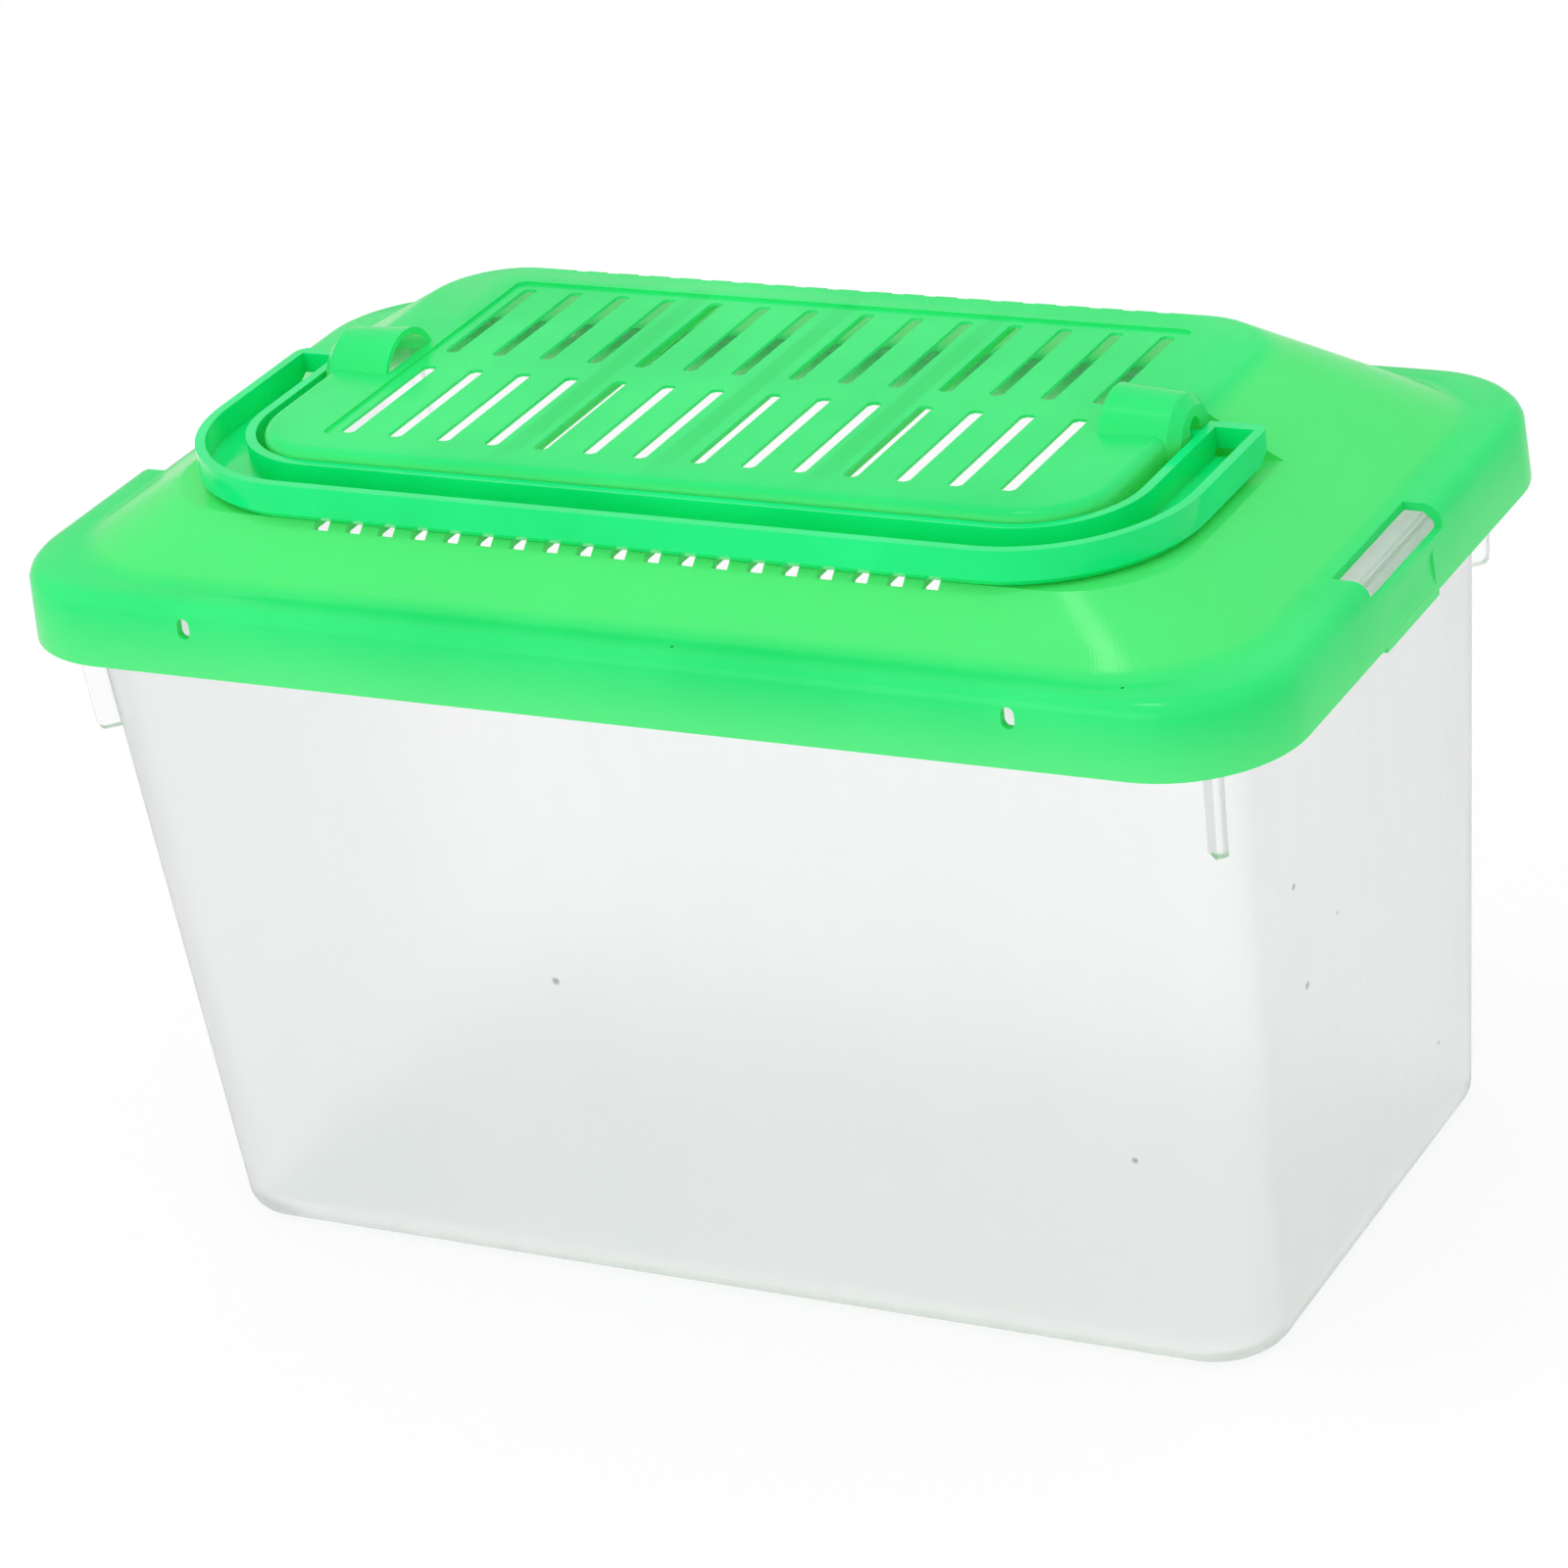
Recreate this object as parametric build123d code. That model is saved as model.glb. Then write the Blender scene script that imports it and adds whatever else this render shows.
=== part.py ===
from build123d import *
import os
from math import atan2, cos, radians, sin, sqrt, tan

# Plastic pet keeper: a clear tub, a lid with a raised grille, and a folding carrying handle.
# Millimetres, +Z up, +X along the length, -Y is the front, where the handle folds.
# The origin is the middle of the tub's foot, on the surface that it stands on.

# --- tub ---
TUB_HEIGHT = 131.5        # foot to the top of the rim
TUB_WALL = 1.6
TUB_FLOOR = 2.4
TUB_DRAFT = 3.1           # degrees, all four walls
TUB_CORNER = 13.0         # upright corner radius
TUB_EDGE = 3.7            # rounding between walls and floor
FOOT_RING = 3.0           # width of the ring that it stands on
FOOT_RECESS = 0.8
RIM_DROP = 6.0            # height of the rim's turned-down lip
RIM_WALL = 1.6
RIM_REACH_ENDS = 6.9      # how far the rim stands out from the walls at the short sides
RIM_REACH_SIDES = 6.3     # and at the long sides
RIM_EDGE = 1.4            # bevel along the rim's top
FIN_REACH = 4.2           # corner fins that keep stacked tubs from wedging
FIN_THICKNESS = 2.2
FIN_DROP = 30.5           # from the rim's top to the fin's foot
FIN_CORNER = 1.5

# --- lid ---
LID_LENGTH = 240.0        # outside, at the skirt's foot
LID_WIDTH = 140.0
LID_WALL = 1.5
SKIRT_DROP = 12.0         # from the ledge's underside to the skirt's foot
SKIRT_DRAFT = 2.0         # degrees
SKIRT_CORNER = 22.0
SKIRT_EDGE = 3.2          # rounding along the skirt's top
RIM_CLEARANCE = 0.6       # between the rim's lip and the skirt
LEDGE_WIDTH = 7.3         # flat band from the skirt to the foot of the roof
ROOF_RISE = 18.2          # from the ledge to the grille panel's top
ROOF_RUN_ENDS = 31.7      # level length of the slopes at the short sides
ROOF_RUN_SIDES = 20.2     # and at the long sides
PANEL_CORNER = 15.0
PANEL_EDGE = 2.0          # rounding along the panel's edge above the step
PANEL_BEVEL = 0.6         # blunting where a slope meets the panel
ROOF_FOOT_CORNER = 24.0
ROOF_FOOT_EDGE = 6.0      # hollow rounding where the roof meets the ledge
CORNER_FLATS = 4          # flats round each inside corner of the roof
HANDLE_STEP = 8.6         # depth of the step that the folded handle lies in
HEEL_GAP = 1.0            # from the end of an arm back to the end of the step, at least

# --- grille panel ---
FIELD_MARGIN_ENDS = 14.0  # from the panel's edge to the shallow recess round the slots
FIELD_MARGIN_SIDES = 7.0
FIELD_DEPTH = 0.5
WEB = 0.6                 # thickness of the plastic that the slots cut through
FIELD_CORNER = 2.0
SLOT_PITCH = 9.62
SLOT_WIDTH = 2.7
SLOT_MARGIN = 2.3         # from the ends of the slots to the edge of the recess
ROW_GAP = 6.4             # between the two rows of slots
SLOT_CORNER = 0.7         # bevelled corners of a slot
CENTRE_GAP = 1.5          # extra space at the middle rib
RIB_SLOTS = 3             # slots between the middle rib and the next
RIB_WIDTH = 3.4           # ribs under the panel
RIB_DEPTH = 2.0
VENT_PITCH = 6.44
VENT_MARGIN = 18.0        # the row of vents stays this far inside the panel's ends
VENT_WIDTH = 2.9
VENT_LENGTH = 7.0
VENT_LAP = 1.2            # how far a front vent reaches out past the step's edge
BACK_VENT_LAP = 0.8       # how far a back vent reaches in over the panel's edge

# --- windows and snaps in the skirt ---
WINDOW_LENGTH = 31.4
WINDOW_Y = -3.0
WINDOW_REACH = 7.0        # from the skirt's foot line in to the window's inner edge
WINDOW_DROP = 4.2         # from the ledge's top down into the skirt
GRIP_LENGTH = 23.0
GRIP_HEIGHT = 8.0
GRIP_DEPTH = 0.6
GRIP_LIP = 1.0
NIB_INSET = 42.0          # snap nibs in the long sides, from the lid's ends, each under a small hole
NIB_WIDTH = 9.0
NIB_HEIGHT = 1.6
NIB_DROP = 0.3            # from the rim's lip down to the nib
NIB_CLEARANCE = 0.15      # between a nib and the rim's lip
NIB_HOLE_WIDTH = 2.4
NIB_HOLE_HEIGHT = 3.8
NIB_HOLE_DROP = 4.6       # hole's centre below the ledge's top

# --- pivots ---
PIVOT_Y = -1.5
BARREL_RADIUS = 8.9       # at the mouth
BARREL_TAPER = 0.9        # how much smaller the closed end's radius is
BARREL_EDGE = 1.8         # bevel round the closed end
BARREL_WALL = 1.1
BARREL_LENGTH = 14.0
BARREL_OVERHANG = 2.0     # how far the closed end, with the pin's slot, stands out past the panel
END_WALL = 2.4
PIN_RADIUS = 2.0
PIN_CLEARANCE = 0.06      # radial
PIN_SLOT_RISE = 2.3       # the pin's slot is this much taller than a round hole

# --- handle ---
HANDLE_BAR = 10.7         # width of the channel section
HANDLE_HEIGHT = 6.5
HANDLE_WALL = 1.8
HANDLE_FLOOR = 1.8
HANDLE_SIDE_GAP = 0.9     # between an arm and the pivot barrel's end
HANDLE_SWING = 135.0      # degrees from the folded place to the back stop
SWING_GAP = 0.5           # between an arm swung back and the rear edge of the step, at least
HANDLE_FRONT_GAP = 0.6    # between the folded bar and the front of the panel
HANDLE_CORNER_GAP = 3.3   # how much wider the bar's inner corners are than the panel's
HANDLE_SEAT = 0.4         # gap under the folded handle
HEEL_CLEARANCE = 0.2      # between the round heel and the step
HANDLE_POCKET = 2.0       # how far the channel runs on behind the pivot
HEEL_RADIUS = 4.7         # round end of the arm, about the pin
HEEL_CORNER = 3.0         # outer corner of the arm's end, in plan
HEEL_RISE = 16.0          # radius that lifts the underside towards the heel
HEEL_START = 7.0          # from the pivot to where the underside starts to lift
HANDLE_FOOT_EDGE = 1.2    # bevel along the underside
PIN_TIP = 1.0             # how far the pin stands past the barrel's end wall

# --- worked out from the sizes above ---
LID_Z = TUB_HEIGHT + LID_WALL                 # top of the ledge
SKIRT_FOOT = TUB_HEIGHT - SKIRT_DROP
SKIRT_IN = (LID_Z - SKIRT_FOOT) * tan(radians(SKIRT_DRAFT))
PANEL_Z = LID_Z + ROOF_RISE
STEP_Z = PANEL_Z - HANDLE_STEP
ROOF_LENGTH = LID_LENGTH - 2 * LEDGE_WIDTH
ROOF_WIDTH = LID_WIDTH - 2 * LEDGE_WIDTH
PANEL_LENGTH = ROOF_LENGTH - 2 * ROOF_RUN_ENDS
PANEL_WIDTH = ROOF_WIDTH - 2 * ROOF_RUN_SIDES
FIELD_LENGTH = PANEL_LENGTH - 2 * FIELD_MARGIN_ENDS
FIELD_WIDTH = PANEL_WIDTH - 2 * FIELD_MARGIN_SIDES
SLOT_COUNT = int((FIELD_LENGTH - CENTRE_GAP + SLOT_PITCH - SLOT_WIDTH) / 2 / SLOT_PITCH)      # in half a row
SLOT_LENGTH = (FIELD_WIDTH - ROW_GAP) / 2 - SLOT_MARGIN
SLOT_ROW = (ROW_GAP + SLOT_LENGTH) / 2        # middle of a row from the centre line
VENT_COUNT = int((PANEL_LENGTH - 2 * VENT_MARGIN) / VENT_PITCH)
NIB_X = LID_LENGTH / 2 - NIB_INSET
RIM_INSET = SKIRT_IN + LID_WALL + RIM_CLEARANCE
RIM_LENGTH = LID_LENGTH - 2 * RIM_INSET
RIM_WIDTH = LID_WIDTH - 2 * RIM_INSET
RIM_CORNER = SKIRT_CORNER - RIM_INSET
TUB_LEAN = TUB_HEIGHT * tan(radians(TUB_DRAFT))
TUB_LENGTH = RIM_LENGTH - 2 * (RIM_REACH_ENDS + TUB_LEAN)      # outside, at the foot
TUB_WIDTH = RIM_WIDTH - 2 * (RIM_REACH_SIDES + TUB_LEAN)
PIVOT_Z = STEP_Z + HEEL_CLEARANCE + HEEL_RADIUS
BARREL_END = PANEL_LENGTH / 2 + BARREL_OVERHANG
BARREL_MOUTH = BARREL_END - BARREL_LENGTH     # open end
HANDLE_Z = STEP_Z + HANDLE_SEAT
HANDLE_REACH = PANEL_WIDTH / 2 + HANDLE_FRONT_GAP + HANDLE_BAR + PIVOT_Y      # pivot to the bar's front
HANDLE_CORNER = PANEL_CORNER + HANDLE_CORNER_GAP + HANDLE_BAR                 # outer, in plan
ARM_X = BARREL_END + HANDLE_SIDE_GAP          # inner face of an arm
ARM_RISE = HANDLE_Z + HANDLE_HEIGHT - PIVOT_Z                  # from the pivot to the arm's open side
EDGE_RISE = PANEL_Z - PIVOT_Z - (ARM_X - PANEL_LENGTH / 2) * ROOF_RISE / ROOF_RUN_ENDS
BACK_LEAN = radians(180 - HANDLE_SWING)
SWING_ROOM = (ARM_RISE + EDGE_RISE * cos(BACK_LEAN) + SWING_GAP) / sin(BACK_LEAN)
STEP_END = PIVOT_Y + max(HEEL_RADIUS + HEEL_GAP, SWING_ROOM)   # where the step stops, in Y
PIN_START = BARREL_END - END_WALL - PIN_TIP   # free end of a pin, inside the barrel
OVERSHOOT = 30.0                              # how far cutting shapes run past what they cut


def drafted_box(length, width, corner, low, high, angle):
    """Box with round upright corners, sized at its foot, whose sides lean out by the angle."""
    box = extrude(Plane.XY.offset(low) * Rectangle(length, width), high - low)
    sides = [face for face in box.faces() if abs(face.normal_at().Z) < 0.5]
    box = draft(sides, Plane.XY.offset(low), -angle)
    upright = [edge for edge in box.edges() if edge.bounding_box().size.Z > (high - low) / 2]
    return fillet(upright, corner)


def plate(length, width, corner, low, high):
    """Straight-sided block with round upright corners."""
    return extrude(Plane.XY.offset(low) * RectangleRounded(length, width, corner), high - low)


def both_ends(shape):
    """The shape and its mirror image at the other short side."""
    return [shape, mirror(shape, about=Plane.YZ)]


def level_edges(shape, z, length=LID_LENGTH, width=LID_WIDTH):
    """Edges that lie at height z within a centred length and width."""
    found = []
    for edge in shape.edges():
        box = edge.bounding_box()
        out_x = max(box.max.X, -box.min.X) - length / 2
        out_y = max(box.max.Y, -box.min.Y) - width / 2
        if max(out_x, out_y, abs(box.min.Z - z), abs(box.max.Z - z)) < 0.01:
            found.append(edge)
    return found


# ---------------------------------------------------------------- tub

def tub_form(inset, low, high):
    """Outside form of the tub, or its cavity when an inset is given."""
    spread = 2 * (low * tan(radians(TUB_DRAFT)) - inset)
    return drafted_box(TUB_LENGTH + spread, TUB_WIDTH + spread, TUB_CORNER - inset, low, high, TUB_DRAFT)


def corner_fin():
    """Upright fin below the rim, square to one corner of the tub."""
    top = TUB_HEIGHT - RIM_WALL / 2
    foot = TUB_HEIGHT - FIN_DROP
    tip = TUB_CORNER + FIN_REACH
    root = TUB_CORNER - TUB_WALL / 2
    lean = (top - foot) * tan(radians(TUB_DRAFT)) * sqrt(2)
    outline = Polyline((root, top), (tip, top), (tip - lean, foot), (root - lean, foot), close=True)
    profile = make_face(outline)
    foot_corner = profile.vertices().sort_by(Axis.Y)[:2].sort_by(Axis.X)[-1]
    profile = fillet(foot_corner, FIN_CORNER)
    fin = extrude(Plane.XZ * profile, FIN_THICKNESS / 2, both=True)
    out = top * tan(radians(TUB_DRAFT)) - TUB_CORNER
    return Pos(TUB_LENGTH / 2 + out, TUB_WIDTH / 2 + out, 0) * Rot(0, 0, 45) * fin


def make_tub():
    wall = tub_form(0, 0, TUB_HEIGHT)
    wall = fillet(level_edges(wall, 0), TUB_EDGE)
    rim = plate(RIM_LENGTH, RIM_WIDTH, RIM_CORNER, TUB_HEIGHT - RIM_DROP, TUB_HEIGHT)
    rim = chamfer(level_edges(rim, TUB_HEIGHT), RIM_EDGE)
    rim -= plate(RIM_LENGTH - 2 * RIM_WALL, RIM_WIDTH - 2 * RIM_WALL, RIM_CORNER - RIM_WALL,
                 TUB_HEIGHT - RIM_DROP, TUB_HEIGHT - RIM_WALL)
    fins = both_ends(corner_fin())
    fins += [mirror(fin, about=Plane.XZ) for fin in fins]
    cavity = tub_form(TUB_WALL, TUB_FLOOR, TUB_HEIGHT + OVERSHOOT)
    cavity = chamfer(level_edges(cavity, TUB_FLOOR), TUB_EDGE - TUB_WALL)
    ring = 2 * (TUB_EDGE + FOOT_RING)
    recess = plate(TUB_LENGTH - ring, TUB_WIDTH - ring, TUB_CORNER - TUB_EDGE, 0, FOOT_RECESS)
    return rim + wall + fins - cavity - recess


# ---------------------------------------------------------------- lid

def bevelled_round(shape, top, radius):
    """Rounds a block's square top edge with three narrow bevels that touch the true rounding."""
    wide = radius * (2 - sqrt(2))
    narrow = radius * (tan(radians(90 / 4)) - tan(radians(90 / 8)))
    shape = chamfer(level_edges(shape, top), wide)
    return chamfer(level_edges(shape, top) + level_edges(shape, top - wide), narrow)


def ridge(plane, foot, panel):
    """Long block with a trapezium for its section, as wide as the roof's foot and the panel."""
    outline = Polyline((-foot / 2, LID_Z), (foot / 2, LID_Z), (panel / 2, PANEL_Z), (-panel / 2, PANEL_Z),
                       close=True)
    return extrude(plane * make_face(outline), LID_LENGTH, both=True)


def outside_corner(length, width, corner):
    """Plan of what lies outside one round corner of a rectangle."""
    reach = corner + OVERSHOOT
    square = Rectangle(reach, reach, align=(Align.MIN, Align.MIN)) - Circle(corner)
    return Pos(length / 2 - corner, width / 2 - corner) * square


def roof():
    """Four flat slopes up to the panel, with corners that get tighter on the way."""
    foot = Plane.XY.offset(LID_Z) * outside_corner(ROOF_LENGTH, ROOF_WIDTH, ROOF_FOOT_CORNER)
    panel = Plane.XY.offset(PANEL_Z) * outside_corner(PANEL_LENGTH, PANEL_WIDTH, PANEL_CORNER)
    waste = both_ends(loft([foot, panel], ruled=True))
    waste += [mirror(each, about=Plane.XZ) for each in waste]
    return (ridge(Plane.XZ, ROOF_LENGTH, PANEL_LENGTH) & ridge(Plane.YZ, ROOF_WIDTH, PANEL_WIDTH)) - waste


def corner_points(length, width, corner, z):
    """Points along the round corners of a level rectangle."""
    x = length / 2 - corner
    y = width / 2 - corner
    turns = [radians(90 * i / CORNER_FLATS) for i in range(CORNER_FLATS + 1)]
    arc = [(x + corner * cos(turn), y + corner * sin(turn)) for turn in turns]
    return [(way * x, side * y, z) for x, y in arc for way in (-1, 1) for side in (-1, 1)]


def roof_hollow(skin):
    """Hollow under the roof, a skin away from it, with narrow flats round its corners."""
    in_x = skin * tan(atan2(ROOF_RISE, ROOF_RUN_ENDS) / 2)
    in_y = skin * tan(atan2(ROOF_RISE, ROOF_RUN_SIDES) / 2)
    foot = corner_points(
        ROOF_LENGTH - 2 * in_x, ROOF_WIDTH - 2 * in_y, ROOF_FOOT_CORNER - skin, LID_Z - skin)
    panel = corner_points(
        PANEL_LENGTH - 2 * in_x, PANEL_WIDTH - 2 * in_y, PANEL_CORNER - skin, PANEL_Z - skin)
    return ConvexPolyhedron(foot + panel)


def handle_step(middle, skin=0.0):
    """What the step takes off the roof, round the middle block that is left standing."""
    step = Pos(0, STEP_END + skin, STEP_Z - skin) * Box(
        LID_LENGTH, LID_WIDTH, ROOF_RISE, align=(Align.CENTER, Align.MAX, Align.MIN))
    return step - middle


def lid_form():
    """Outside form of the lid, with its skirt, roof and handle step."""
    form = drafted_box(LID_LENGTH, LID_WIDTH, SKIRT_CORNER, SKIRT_FOOT, LID_Z, -SKIRT_DRAFT)
    form = bevelled_round(form, LID_Z, SKIRT_EDGE) + roof()
    form = fillet(level_edges(form, LID_Z, ROOF_LENGTH, ROOF_WIDTH), ROOF_FOOT_EDGE)
    form = chamfer(level_edges(form, PANEL_Z), PANEL_BEVEL)
    middle = plate(PANEL_LENGTH, PANEL_WIDTH, PANEL_CORNER, STEP_Z, PANEL_Z)
    middle = fillet(level_edges(middle, PANEL_Z), PANEL_EDGE)
    return form - handle_step(middle)


def lid_hollow():
    """Inside form of the lid, one wall away from the outside."""
    top = LID_Z - LID_WALL
    spread = 2 * LID_WALL * (1 - tan(radians(SKIRT_DRAFT)))
    form = drafted_box(LID_LENGTH - spread, LID_WIDTH - spread, SKIRT_CORNER - LID_WALL,
                       SKIRT_FOOT - LID_WALL, top, -SKIRT_DRAFT)
    form = chamfer(level_edges(form, top), SKIRT_EDGE - LID_WALL) + roof_hollow(LID_WALL)
    middle = plate(PANEL_LENGTH - 2 * LID_WALL, PANEL_WIDTH - 2 * LID_WALL, PANEL_CORNER - LID_WALL,
                   STEP_Z - LID_WALL, PANEL_Z - LID_WALL)
    return form - handle_step(middle, LID_WALL)


def on_pivot(start, turned):
    """Lays an upright turned shape along the pivot axis, its foot at a distance from the centre."""
    return Pos(start, PIVOT_Y, PIVOT_Z) * Rot(0, 90, 0) * turned


def pivot_barrel():
    """Half barrel on the panel that carries the handle's pin, down to the level of the step."""
    cone = Cone(BARREL_RADIUS, BARREL_RADIUS - BARREL_TAPER, BARREL_END - BARREL_MOUTH,
                align=(Align.CENTER, Align.CENTER, Align.MIN))
    hub = on_pivot(BARREL_MOUTH, chamfer(cone.edges().sort_by(Axis.Z)[-1], BARREL_EDGE))
    below = Pos(0, PIVOT_Y, STEP_Z - LID_WALL) * Box(
        2 * LID_LENGTH, LID_WIDTH, OVERSHOOT, align=(Align.CENTER, Align.CENTER, Align.MAX))
    return hub - below


def barrel_bore():
    """Hollow of the barrel, open towards the middle of the lid."""
    depth = BARREL_END - END_WALL - BARREL_MOUTH
    mouth = BARREL_RADIUS - BARREL_WALL
    closed_end = mouth - BARREL_TAPER * depth / (BARREL_END - BARREL_MOUTH)
    bore = Cone(mouth, closed_end, depth, align=(Align.CENTER, Align.CENTER, Align.MIN))
    return on_pivot(BARREL_MOUTH, bore)


def pin_slot():
    """Slot in the barrel's end wall. The handle's pin turns in the round foot of it."""
    radius = PIN_RADIUS + PIN_CLEARANCE
    outline = Circle(radius) + Pos(0, PIN_SLOT_RISE) * Circle(radius)
    outline += Pos(0, PIN_SLOT_RISE / 2) * Rectangle(2 * radius, PIN_SLOT_RISE)
    return extrude(Plane.YZ.offset(PIN_START) * Pos(PIVOT_Y, PIVOT_Z) * outline, OVERSHOOT)


def grille_cuts():
    """Slots in two rows, and the vents along the front and back edges."""
    slot = Rectangle(SLOT_WIDTH, SLOT_LENGTH)
    slot = chamfer(slot.vertices(), SLOT_CORNER)
    columns = [CENTRE_GAP / 2 + SLOT_PITCH * (i + 0.5) for i in range(SLOT_COUNT)]
    slots = [Pos(side * x, row * SLOT_ROW) * slot for x in columns for side in (-1, 1) for row in (-1, 1)]
    step_edge = PANEL_WIDTH / 2 + ROOF_RUN_SIDES * HANDLE_STEP / ROOF_RISE
    front = VENT_LENGTH / 2 - VENT_LAP - step_edge
    back = PANEL_WIDTH / 2 - BACK_VENT_LAP + VENT_LENGTH / 2
    vent = Rectangle(VENT_WIDTH, VENT_LENGTH)
    places = [VENT_PITCH * (i - (VENT_COUNT - 1) / 2) for i in range(VENT_COUNT)]
    front_vents = [Pos(x, front) * vent for x in places]
    back_vents = [Pos(x, back) * vent for x in places]
    slot_cut = extrude(Plane.XY.offset(STEP_Z) * (Sketch() + slots), ROOF_RISE)
    front_cut = extrude(Plane.XY.offset(LID_Z) * (Sketch() + front_vents), ROOF_RISE - LID_WALL)
    back_cut = extrude(Plane.XY.offset(LID_Z) * (Sketch() + back_vents), 2 * ROOF_RISE)
    return [slot_cut, front_cut, back_cut]


def panel_pocket():
    """Hollow under the field of slots, which leaves a thin web there."""
    return plate(FIELD_LENGTH, FIELD_WIDTH, FIELD_CORNER, STEP_Z, PANEL_Z - FIELD_DEPTH - WEB)


def panel_ribs():
    """Ribs under the web, between the groups of slots."""
    top = PANEL_Z - FIELD_DEPTH - WEB
    aside = CENTRE_GAP / 2 + SLOT_PITCH * RIB_SLOTS
    height = top - (PANEL_Z - LID_WALL) + RIB_DEPTH
    rib = Box(RIB_WIDTH, PANEL_WIDTH - 2 * LID_WALL, height, align=(Align.CENTER, Align.CENTER, Align.MAX))
    return [Pos(x, 0, top) * rib for x in (-aside, 0, aside)]


def window():
    """Opening through the ledge and the top of the skirt at the +X side."""
    return Pos(LID_LENGTH / 2 - WINDOW_REACH, WINDOW_Y, LID_Z - WINDOW_DROP) * Box(
        OVERSHOOT, WINDOW_LENGTH, OVERSHOOT, align=(Align.MIN, Align.CENTER, Align.MIN))


def grip_lip():
    """Lip that carries the skirt a little lower below the window."""
    return Pos(LID_LENGTH / 2, WINDOW_Y, SKIRT_FOOT - GRIP_LIP) * Box(
        LID_WALL, GRIP_LENGTH, 2 * GRIP_LIP, align=(Align.MAX, Align.CENTER, Align.MIN))


def grip_scoop():
    """Shallow hollow across the skirt's outer face below the window, for a finger."""
    radius = (GRIP_HEIGHT ** 2 / 4 + GRIP_DEPTH ** 2) / (2 * GRIP_DEPTH)
    centre_z = SKIRT_FOOT + GRIP_LIP + GRIP_HEIGHT / 2
    roller = Rot(90, 0, 0) * Cylinder(radius, GRIP_LENGTH - 2 * GRIP_LIP)
    return Pos(LID_LENGTH / 2 - GRIP_DEPTH + radius, WINDOW_Y, centre_z) * roller


def snap_nibs():
    """Nibs inside the long sides of the skirt, just under the rim's turned-down lip."""
    top = TUB_HEIGHT - RIM_DROP
    tip = RIM_WIDTH / 2 + NIB_CLEARANCE
    root = LID_WIDTH / 2 - LID_WALL / 2
    nib = Pos(NIB_X, tip, top - NIB_DROP) * Box(
        NIB_WIDTH, root - tip, NIB_HEIGHT, align=(Align.CENTER, Align.MIN, Align.MAX))
    return both_ends(nib) + [mirror(each, about=Plane.XZ) for each in both_ends(nib)]


def nib_holes():
    """Small upright holes through the long sides, one above each nib."""
    outline = Rot(0, 0, 90) * SlotOverall(NIB_HOLE_HEIGHT, NIB_HOLE_WIDTH)
    across = extrude(Plane.XZ * outline, LID_WIDTH, both=True)
    return both_ends(Pos(NIB_X, 0, LID_Z - NIB_HOLE_DROP) * across)


def make_lid():
    lid = lid_form() + both_ends(pivot_barrel()) - lid_hollow() - panel_pocket() + panel_ribs()
    field = plate(FIELD_LENGTH, FIELD_WIDTH, FIELD_CORNER, PANEL_Z - FIELD_DEPTH, PANEL_Z + FIELD_DEPTH)
    lid = lid - field - both_ends(barrel_bore()) - both_ends(pin_slot()) - grille_cuts()
    lid = lid - both_ends(window()) + both_ends(grip_lip()) - both_ends(grip_scoop())
    return lid - nib_holes() + snap_nibs()


# ---------------------------------------------------------------- handle

def bail_plan(inset, back):
    """Plan of the handle from its front to y = back, as if filled in, and moved inwards by the inset."""
    half = ARM_X + HANDLE_BAR - inset
    front = PIVOT_Y - HANDLE_REACH + inset
    outline = Pos(0, (front + back) / 2) * Rectangle(2 * half, back - front)
    return fillet(outline.vertices().sort_by(Axis.Y)[:2], HANDLE_CORNER - inset)


def heel_waste():
    """What the round heel and the lifting underside take off the ends of the arms, seen from the side."""
    start = PIVOT_Y - HEEL_START
    under = Pos(start, HANDLE_Z) * Rectangle(OVERSHOOT, HEEL_RISE, align=(Align.MIN, Align.MIN))
    under -= Pos(start, HANDLE_Z + HEEL_RISE) * Circle(HEEL_RISE)
    behind = Pos(PIVOT_Y, PIVOT_Z) * Rectangle(OVERSHOOT, OVERSHOOT, align=(Align.MIN, Align.CENTER))
    behind -= Pos(PIVOT_Y, PIVOT_Z) * Circle(HEEL_RADIUS)
    return extrude(Plane.YZ * (under + behind), LID_LENGTH, both=True)


def make_handle():
    back = PIVOT_Y + HEEL_RADIUS
    plan = bail_plan(0, back)
    plan = fillet(plan.vertices().sort_by(Axis.Y)[-2:], HEEL_CORNER)
    plan -= bail_plan(HANDLE_BAR, back + HEEL_RADIUS)
    bar = extrude(Plane.XY.offset(HANDLE_Z) * plan, HANDLE_HEIGHT)
    bar = chamfer(level_edges(bar, HANDLE_Z), HANDLE_FOOT_EDGE)
    pocket = PIVOT_Y + HANDLE_POCKET
    channel = bail_plan(HANDLE_WALL, pocket) - bail_plan(HANDLE_BAR - HANDLE_WALL, pocket + HEEL_RADIUS)
    bar -= extrude(Plane.XY.offset(HANDLE_Z + HANDLE_FLOOR) * channel, HANDLE_HEIGHT)
    bar -= heel_waste()
    length = ARM_X + HANDLE_WALL - PIN_START
    pin = Cylinder(PIN_RADIUS, length, align=(Align.CENTER, Align.CENTER, Align.MIN))
    return bar + both_ends(on_pivot(PIN_START, pin))


parts = {"tub": make_tub(), "lid": make_lid(), "handle": make_handle()}

os.makedirs("parts", exist_ok=True)
for name, shape in parts.items():
    print(name, "solids", len(shape.solids()), "volume", round(shape.volume / 1000, 2), "cm3")
    export_step(shape, "parts/" + name + ".step")
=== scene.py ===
from math import radians

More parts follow.
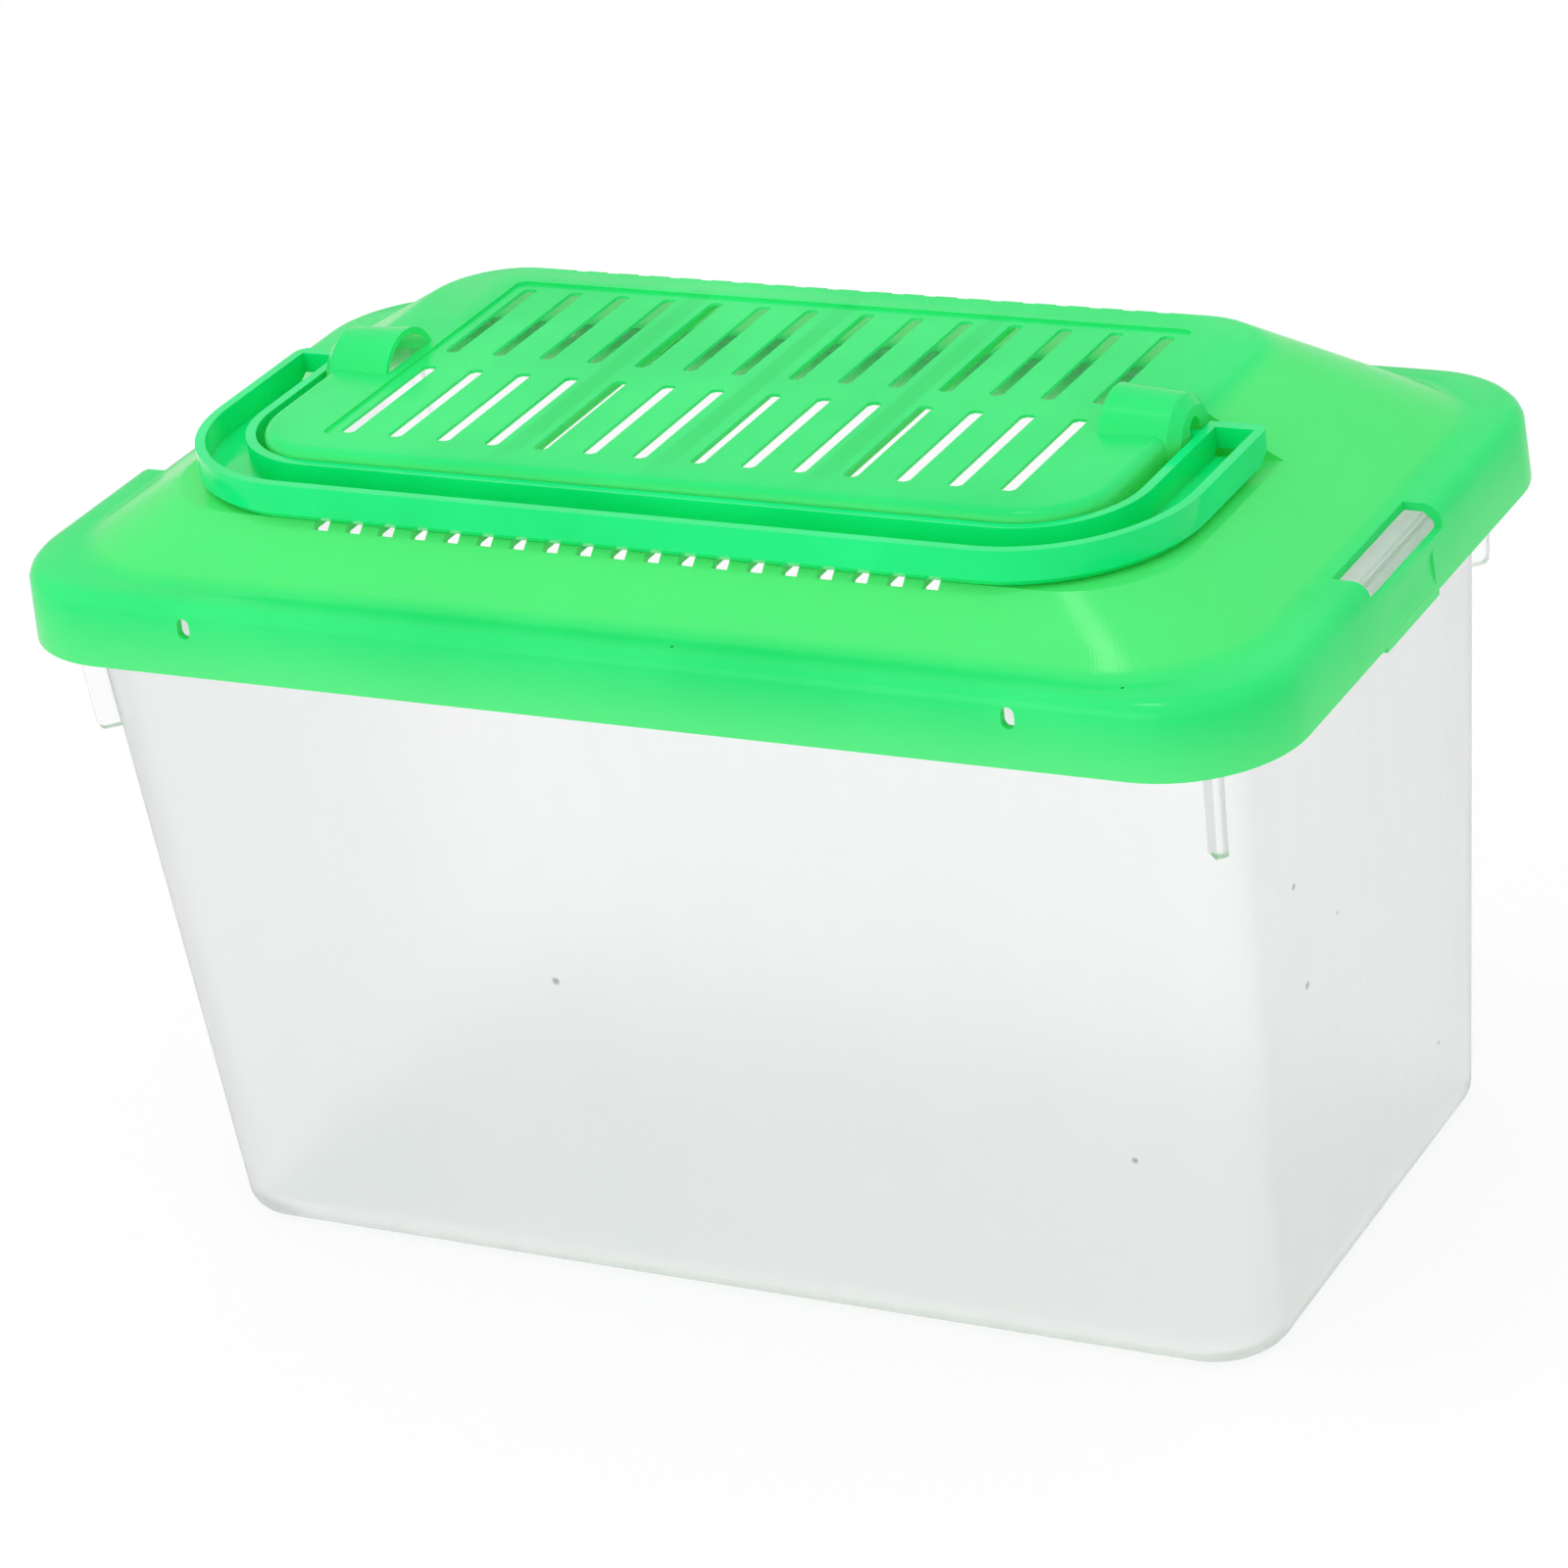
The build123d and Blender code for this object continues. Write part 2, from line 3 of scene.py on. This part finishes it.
import bmesh
import bpy
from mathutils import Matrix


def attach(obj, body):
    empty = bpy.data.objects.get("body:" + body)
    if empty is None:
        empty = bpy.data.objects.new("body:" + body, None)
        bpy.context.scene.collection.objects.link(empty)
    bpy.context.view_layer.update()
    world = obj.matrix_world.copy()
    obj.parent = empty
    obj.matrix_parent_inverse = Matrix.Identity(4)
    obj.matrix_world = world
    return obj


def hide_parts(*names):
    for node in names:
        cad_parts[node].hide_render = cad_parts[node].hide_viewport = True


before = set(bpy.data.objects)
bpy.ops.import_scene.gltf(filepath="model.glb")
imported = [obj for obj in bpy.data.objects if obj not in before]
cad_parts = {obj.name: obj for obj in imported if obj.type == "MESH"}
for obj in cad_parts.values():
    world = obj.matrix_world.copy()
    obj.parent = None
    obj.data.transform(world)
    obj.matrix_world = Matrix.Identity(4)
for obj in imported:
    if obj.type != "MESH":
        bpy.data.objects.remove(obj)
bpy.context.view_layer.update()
scene = bpy.context.scene
scene.view_settings.view_transform = "Standard"


# ------------------------------------------------------------------ camera
# A metre from the keeper, off its front right corner and well above the lid,
# behind a long lens. The camera is tipped a little, as the photographer held it.

camera_data = bpy.data.cameras.new("camera")
camera_data.sensor_width = 36.0
camera_data.lens = 134.12
camera = bpy.data.objects.new("camera", camera_data)
camera.location = (0.47014, -0.80936, 0.5242)
camera.rotation_euler = (radians(64.130), radians(6.908), radians(27.086))
scene.collection.objects.link(camera)
scene.camera = camera


# ------------------------------------------------------------------ table top
# A matt white board under the keeper, wide enough to reach past every view.
# What looks straight at it sees it bright, and it still takes the keeper's shadow.

def lay(tree, kind, **settings):
    """Adds a shader node and sets its sockets by name, or its own properties."""
    made = tree.nodes.new("ShaderNode" + kind)
    for name, value in settings.items():
        socket = made.inputs.get(name.replace("_", " "))
        if socket is not None:
            socket.default_value = value
        else:
            setattr(made, name, value)
    return made


def fresh_tree(name):
    """A new material's empty node tree, and its output node."""
    material = bpy.data.materials.new(name)
    material.use_nodes = True
    material.node_tree.nodes.clear()
    return material, material.node_tree, lay(material.node_tree, "OutputMaterial")


board_half = 4.0
board_gap = 0.0002         # below the tub's foot
board_mesh = bpy.data.meshes.new("table_top")
work = bmesh.new()
bmesh.ops.create_grid(work, x_segments=8, y_segments=8, size=board_half)
bmesh.ops.translate(work, verts=work.verts, vec=(0, 0, -board_gap))
work.to_mesh(board_mesh)
work.free()
table_top = bpy.data.objects.new("table_top", board_mesh)
scene.collection.objects.link(table_top)

board_paint, tree, out = fresh_tree("white_board")
lit = lay(tree, "BsdfDiffuse", Color=(0.86, 0.86, 0.86, 1))
seen_lit = lay(tree, "BsdfDiffuse", Color=(0.15, 0.15, 0.15, 1))
seen_glow = lay(tree, "Emission", Color=(1, 1, 1, 1), Strength=0.85)
seen = lay(tree, "AddShader")
rays = lay(tree, "LightPath")
straight = lay(tree, "Math", operation="MAXIMUM")
looked_at = lay(tree, "Math", operation="MAXIMUM")
pick = lay(tree, "MixShader")
tree.links.new(seen_lit.outputs[0], seen.inputs[0])
tree.links.new(seen_glow.outputs[0], seen.inputs[1])
tree.links.new(rays.outputs["Is Camera Ray"], straight.inputs[0])
tree.links.new(rays.outputs["Is Glossy Ray"], straight.inputs[1])
tree.links.new(straight.outputs[0], looked_at.inputs[0])
tree.links.new(rays.outputs["Is Transmission Ray"], looked_at.inputs[1])
tree.links.new(looked_at.outputs[0], pick.inputs[0])
tree.links.new(lit.outputs[0], pick.inputs[1])
tree.links.new(seen.outputs[0], pick.inputs[2])
tree.links.new(pick.outputs[0], out.inputs["Surface"])
board_mesh.materials.append(board_paint)


# ------------------------------------------------------------------ light
# A plain white room lights the keeper from all sides, as a light tent does. A small
# lamp above draws the streak on the roof's corner, and a soft box fills the front.

def soft_box(name, place, aim, size, watts):
    lamp = bpy.data.lights.new(name, "AREA")
    lamp.shape = "SQUARE"
    lamp.size = size
    lamp.energy = watts
    holder = bpy.data.objects.new(name, lamp)
    holder.location = place
    toward = holder.location.copy()
    toward.negate()
    toward[0] += aim[0]
    toward[1] += aim[1]
    toward[2] += aim[2]
    holder.rotation_euler = toward.to_track_quat("-Z", "Y").to_euler()
    scene.collection.objects.link(holder)


keeper_middle = (0, 0, 0.08)
soft_box("overhead_lamp", (-0.16, -0.25, 1.60), keeper_middle, 0.3, 2.6)
soft_box("front_box", (-0.3, -1.5, 0.6), keeper_middle, 1.0, 4.5)

room = bpy.data.worlds.new("white_room")
room.use_nodes = True
tree = room.node_tree
tree.nodes.clear()
white = lay(tree, "Background", Color=(1, 1, 1, 1), Strength=0.9)
seen_white = lay(tree, "Background", Color=(1, 1, 1, 1), Strength=1.0)
rays = lay(tree, "LightPath")
straight = lay(tree, "Math", operation="MAXIMUM")
pick = lay(tree, "MixShader")
tree.links.new(rays.outputs["Is Camera Ray"], straight.inputs[0])
tree.links.new(rays.outputs["Is Transmission Ray"], straight.inputs[1])
tree.links.new(straight.outputs[0], pick.inputs[0])
tree.links.new(white.outputs[0], pick.inputs[1])
tree.links.new(seen_white.outputs[0], pick.inputs[2])
tree.links.new(pick.outputs[0], lay(tree, "OutputWorld").inputs["Surface"])
scene.world = room


# ------------------------------------------------------------------ tub
# A deep tub of milky, see-through plastic, moulded in one shot with its turned-down
# rim and the four fins below it. The mould's faces were brushed, so it is hazy.

def moulded(node, name, rounding, steps):
    """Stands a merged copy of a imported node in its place, with softly rounded corners."""
    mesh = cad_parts[node].data.copy()
    mesh.name = name
    mesh.materials.clear()
    work = bmesh.new()
    work.from_mesh(mesh)
    bmesh.ops.remove_doubles(work, verts=work.verts, dist=2e-6)
    bmesh.ops.dissolve_limit(work, angle_limit=radians(0.4), verts=work.verts, edges=work.edges)
    for face in work.faces:
        face.smooth = True
    for edge in work.edges:
        edge.smooth = edge.calc_face_angle(0) < radians(28)
    work.to_mesh(mesh)
    work.free()
    piece = bpy.data.objects.new(name, mesh)
    scene.collection.objects.link(piece)
    bevel = piece.modifiers.new("moulded_corners", "BEVEL")
    bevel.limit_method = "ANGLE"
    bevel.angle_limit = radians(28)
    bevel.width = rounding
    bevel.segments = steps
    bevel.harden_normals = True
    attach(piece, node)
    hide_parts(node)
    return piece


def mottle(tree, per_metre, low, high, stretch=(1, 1, 1), detail=2.0):
    """Soft noise fixed to the piece: 0 where it is at its low level, and 1 at its high level."""
    place = lay(tree, "TexCoord")
    fit = lay(tree, "Mapping", Scale=stretch)
    noise = lay(tree, "TexNoise", Scale=per_metre, Detail=detail)
    spread = lay(tree, "MapRange", From_Min=low, From_Max=high)
    tree.links.new(place.outputs["Object"], fit.inputs["Vector"])
    tree.links.new(fit.outputs[0], noise.inputs["Vector"])
    tree.links.new(noise.outputs[0], spread.inputs["Value"])
    return spread.outputs[0]


def sum_of(tree, action, first, second):
    """A Math node's result, from two sockets or numbers."""
    made = lay(tree, "Math", operation=action)
    for socket, value in zip(made.inputs, (first, second)):
        if isinstance(value, bpy.types.NodeSocket):
            tree.links.new(value, socket)
        else:
            socket.default_value = value
    return made.outputs[0]


def tint(tree, share, under, over):
    """The colour over laid on the colour under, by a share that a socket gives."""
    made = lay(tree, "MixRGB")
    tree.links.new(share, made.inputs["Fac"])
    for socket, value in zip((made.inputs["Color1"], made.inputs["Color2"]), (under, over)):
        if isinstance(value, bpy.types.NodeSocket):
            tree.links.new(value, socket)
        else:
            socket.default_value = value
    return made.outputs[0]


def specks(tree, places):
    """Dust moulded into the plastic: 1 within each small spot, given as its place and size."""
    found = 0.0
    place = lay(tree, "TexCoord")
    for spot, size in places:
        apart = lay(tree, "VectorMath", operation="DISTANCE")
        tree.links.new(place.outputs["Object"], apart.inputs[0])
        apart.inputs[1].default_value = spot
        fade = lay(tree, "MapRange", From_Min=size, From_Max=size * 0.4)
        tree.links.new(apart.outputs["Value"], fade.inputs["Value"])
        found = sum_of(tree, "MAXIMUM", fade.outputs[0], found)
    return found


def textured(tree, skin, height, strength, depth):
    """Presses a height pattern into the surface of a shader."""
    bump = lay(tree, "Bump", Strength=strength, Distance=depth)
    tree.links.new(height, bump.inputs["Height"])
    tree.links.new(bump.outputs[0], skin.inputs["Normal"])


def between(tree, share, low, high):
    """A number that runs from low to high as the share runs from 0 to 1."""
    made = lay(tree, "MapRange", To_Min=low, To_Max=high)
    tree.links.new(share, made.inputs["Value"])
    return made.outputs[0]


tub_clear, tree, out = fresh_tree("milky_clear")
skin = lay(tree, "BsdfPrincipled", IOR=1.25, Transmission_Weight=1.0)
haze = mottle(tree, 17.0, 0.35, 0.68)
dust = specks(tree, (
    ((-0.0221, -0.0573, 0.0611), 0.0010), ((0.0852, -0.0562, 0.0410), 0.0008),
    ((0.1068, -0.0290, 0.0626), 0.0010), ((0.1072, -0.0152, 0.0693), 0.0005),
    ((0.1079, -0.0332, 0.0834), 0.0008), ((0.1045, 0.0284, 0.0204), 0.0005)))
cloudy = tint(tree, haze, (0.975, 0.995, 0.99, 1), (1.0, 1.0, 1.0, 1))
tree.links.new(tint(tree, dust, cloudy, (0.3, 0.27, 0.29, 1)), skin.inputs["Base Color"])
brushed = mottle(tree, 420.0, 0.3, 0.7, stretch=(1, 1, 0.08), detail=3.0)
tree.links.new(between(tree, brushed, 0.40, 0.5), skin.inputs["Roughness"])
textured(tree, skin, brushed, 0.06, 0.0002)
tree.links.new(skin.outputs[0], out.inputs["Surface"])

rim_top = 0.1315
light_gap = 0.0002         # lets light in between the rim and the lid that rests on it
tub = moulded("tub", "tub_shell", 0.0003, 2)
for corner in tub.data.vertices:
    if corner.co.z > rim_top - 0.0001:
        corner.co.z = rim_top - light_gap
tub.data.materials.append(tub_clear)


# ------------------------------------------------------------------ lid
# The green lid, one moulding: the skirt that snaps over the tub's rim, the sloping
# roof, the slotted panel, and the two half barrels that the handle turns in.

def level_band(tree, along, low, high):
    """0 below the low level and 1 above the high one, along one axis; the other way round too."""
    place = lay(tree, "TexCoord")
    apart = lay(tree, "SeparateXYZ")
    band = lay(tree, "MapRange", From_Min=low, From_Max=high)
    tree.links.new(place.outputs["Object"], apart.inputs[0])
    tree.links.new(apart.outputs[along], band.inputs["Value"])
    return band.outputs[0]


def across_band(tree, along, middle, half):
    """1 within half a width of a level, along one axis, and fading at its sides."""
    place = lay(tree, "TexCoord")
    apart = lay(tree, "SeparateXYZ")
    tree.links.new(place.outputs["Object"], apart.inputs[0])
    off = sum_of(tree, "ABSOLUTE", sum_of(tree, "SUBTRACT", apart.outputs[along], middle), 0.0)
    edge = lay(tree, "MapRange", From_Min=half * 1.4, From_Max=half * 0.8)
    tree.links.new(off, edge.inputs["Value"])
    return edge.outputs[0]


def corner_marks(tree, middle_x, middle_y):
    """Fine lines that the cutter left in the mould, fanning out at each corner of the roof."""
    place = lay(tree, "TexCoord")
    quarter = lay(tree, "VectorMath", operation="ABSOLUTE")
    apart = lay(tree, "SeparateXYZ")
    tree.links.new(place.outputs["Object"], quarter.inputs[0])
    tree.links.new(quarter.outputs[0], apart.inputs[0])
    turn = sum_of(tree, "ARCTAN2", sum_of(tree, "SUBTRACT", apart.outputs["Y"], middle_y),
                  sum_of(tree, "SUBTRACT", apart.outputs["X"], middle_x))
    lines = lay(tree, "TexNoise", noise_dimensions="1D", Scale=60.0, Detail=1.0)
    tree.links.new(turn, lines.inputs["W"])
    inside = sum_of(tree, "MULTIPLY", level_band(tree, "Z", 0.1329, 0.1345), level_band(tree, "Z", 0.1500, 0.1490))
    corner = sum_of(tree, "MULTIPLY", sum_of(tree, "GREATER_THAN", turn, 0.1), sum_of(tree, "LESS_THAN", turn, 1.47))
    return sum_of(tree, "MULTIPLY", sum_of(tree, "MULTIPLY", lines.outputs[0], 6.0),
                  sum_of(tree, "MULTIPLY", inside, corner))


rib_apart = 0.0296         # from the middle rib to the ones beside it
rib_half = 0.0017
rib_reach = 0.0300

lid_green, tree, out = fresh_tree("lid_green")
skin = lay(tree, "BsdfPrincipled", IOR=1.3)
glow_through = lay(tree, "BsdfTranslucent")
milky = lay(tree, "MixShader", Fac=0.3)
clouds = mottle(tree, 26.0, 0.36, 0.66, detail=3.0)
green = tint(tree, clouds, (0.028, 0.89, 0.24, 1), (0.048, 0.96, 0.28, 1))
# Painted light: the roof's slopes are tinted paler and yellower, standing in for light from the white tub that shows
# through them.
roof_painted_light = sum_of(tree, "MULTIPLY", level_band(tree, "Z", 0.1329, 0.1345), level_band(tree, "Z", 0.1507, 0.1490))
green = tint(tree, sum_of(tree, "MULTIPLY", roof_painted_light, 0.8), green, (0.13, 0.95, 0.26, 1))
# Painted light: the lower part of the skirt is tinted paler, standing in for the white rim of the tub that shows
# through it.
green = tint(tree, sum_of(tree, "MULTIPLY", level_band(tree, "Z", 0.1300, 0.1200), 0.7), green, (0.17, 0.97, 0.33, 1))
# Painted shade: darker bands over the three ribs under the panel, standing in for the thicker plastic there letting
# less light through.
rib_painted_shade = sum_of(tree, "MAXIMUM", across_band(tree, "X", 0.0, rib_half),
              sum_of(tree, "MAXIMUM", across_band(tree, "X", -rib_apart, rib_half),
                     across_band(tree, "X", rib_apart, rib_half)))
rib_painted_shade = sum_of(tree, "MULTIPLY", rib_painted_shade, across_band(tree, "Y", 0.0, rib_reach))
rib_painted_shade = sum_of(tree, "MULTIPLY", rib_painted_shade, level_band(tree, "Z", 0.1480, 0.1490))
green = tint(tree, sum_of(tree, "MULTIPLY", rib_painted_shade, 0.6), green, (0.012, 0.80, 0.17, 1))
dust = specks(tree, (((0.0160, -0.0660, 0.1330), 0.0004), ((0.0960, -0.0640, 0.1330), 0.0004)))
green = tint(tree, dust, green, (0.02, 0.12, 0.04, 1))
tree.links.new(green, skin.inputs["Base Color"])
tree.links.new(green, glow_through.inputs["Color"])
tree.links.new(skin.outputs[0], milky.inputs[1])
tree.links.new(glow_through.outputs[0], milky.inputs[2])
tree.links.new(between(tree, mottle(tree, 60.0, 0.3, 0.7), 0.16, 0.24), skin.inputs["Roughness"])
grain = sum_of(tree, "ADD", mottle(tree, 300.0, 0.2, 0.8), corner_marks(tree, 0.077, 0.033))
textured(tree, skin, grain, 0.03, 0.0002)
tree.links.new(milky.outputs[0], out.inputs["Surface"])

lid = moulded("lid", "lid_shell", 0.00025, 2)
lid.data.materials.append(lid_green)


# ------------------------------------------------------------------ handle
# The carrying handle, a channel-section bail in a slightly deeper green, whose
# pins are sprung into the barrels' slots.

handle_green, tree, out = fresh_tree("handle_green")
skin = lay(tree, "BsdfPrincipled", IOR=1.3, Transmission_Weight=0.08)
clouds = mottle(tree, 45.0, 0.35, 0.68)
green = tint(tree, clouds, (0.003, 0.84, 0.22, 1), (0.008, 0.92, 0.26, 1))
dust = specks(tree, (((0.0948, -0.0416, 0.1490), 0.0005), ((0.0940, -0.0145, 0.1480), 0.0005)))
tree.links.new(tint(tree, dust, green, (0.01, 0.08, 0.03, 1)), skin.inputs["Base Color"])
scuffs = mottle(tree, 1500.0, 0.56, 0.72, stretch=(0.12, 0.12, 1), detail=3.0)
tree.links.new(between(tree, scuffs, 0.1, 0.24), skin.inputs["Roughness"])
textured(tree, skin, scuffs, 0.05, 0.0002)
tree.links.new(skin.outputs[0], out.inputs["Surface"])

handle = moulded("handle", "handle_bail", 0.0011, 4)
handle.data.materials.append(handle_green)
